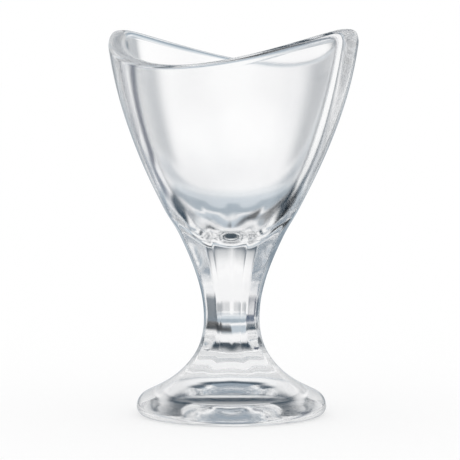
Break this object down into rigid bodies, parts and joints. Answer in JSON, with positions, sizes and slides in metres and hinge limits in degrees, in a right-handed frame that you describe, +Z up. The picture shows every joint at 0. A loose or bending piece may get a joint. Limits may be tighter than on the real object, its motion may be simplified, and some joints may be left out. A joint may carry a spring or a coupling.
{
  "type": "eye wash cup",
  "caption": "Clear pressed-glass eye wash cup: pointed oval bowl with a scooped rim that seats round the eye, on a panelled waisted stem and a round foot.",
  "frame": {"origin": "centre of the face under the foot that the cup rests on", "axes": "+Z up from the foot to the mouth; +X along the long axis of the mouth, from one raised tip of the rim to the other"},
  "size_m": [0.047, 0.0376, 0.0647],
  "materials": {
    "clear_glass": "fire-polished clear glass"
  },
  "bodies": {
    "root": {"bowl": "clear_glass", "stem": "clear_glass", "foot": "clear_glass"}
  },
  "joints": []
}
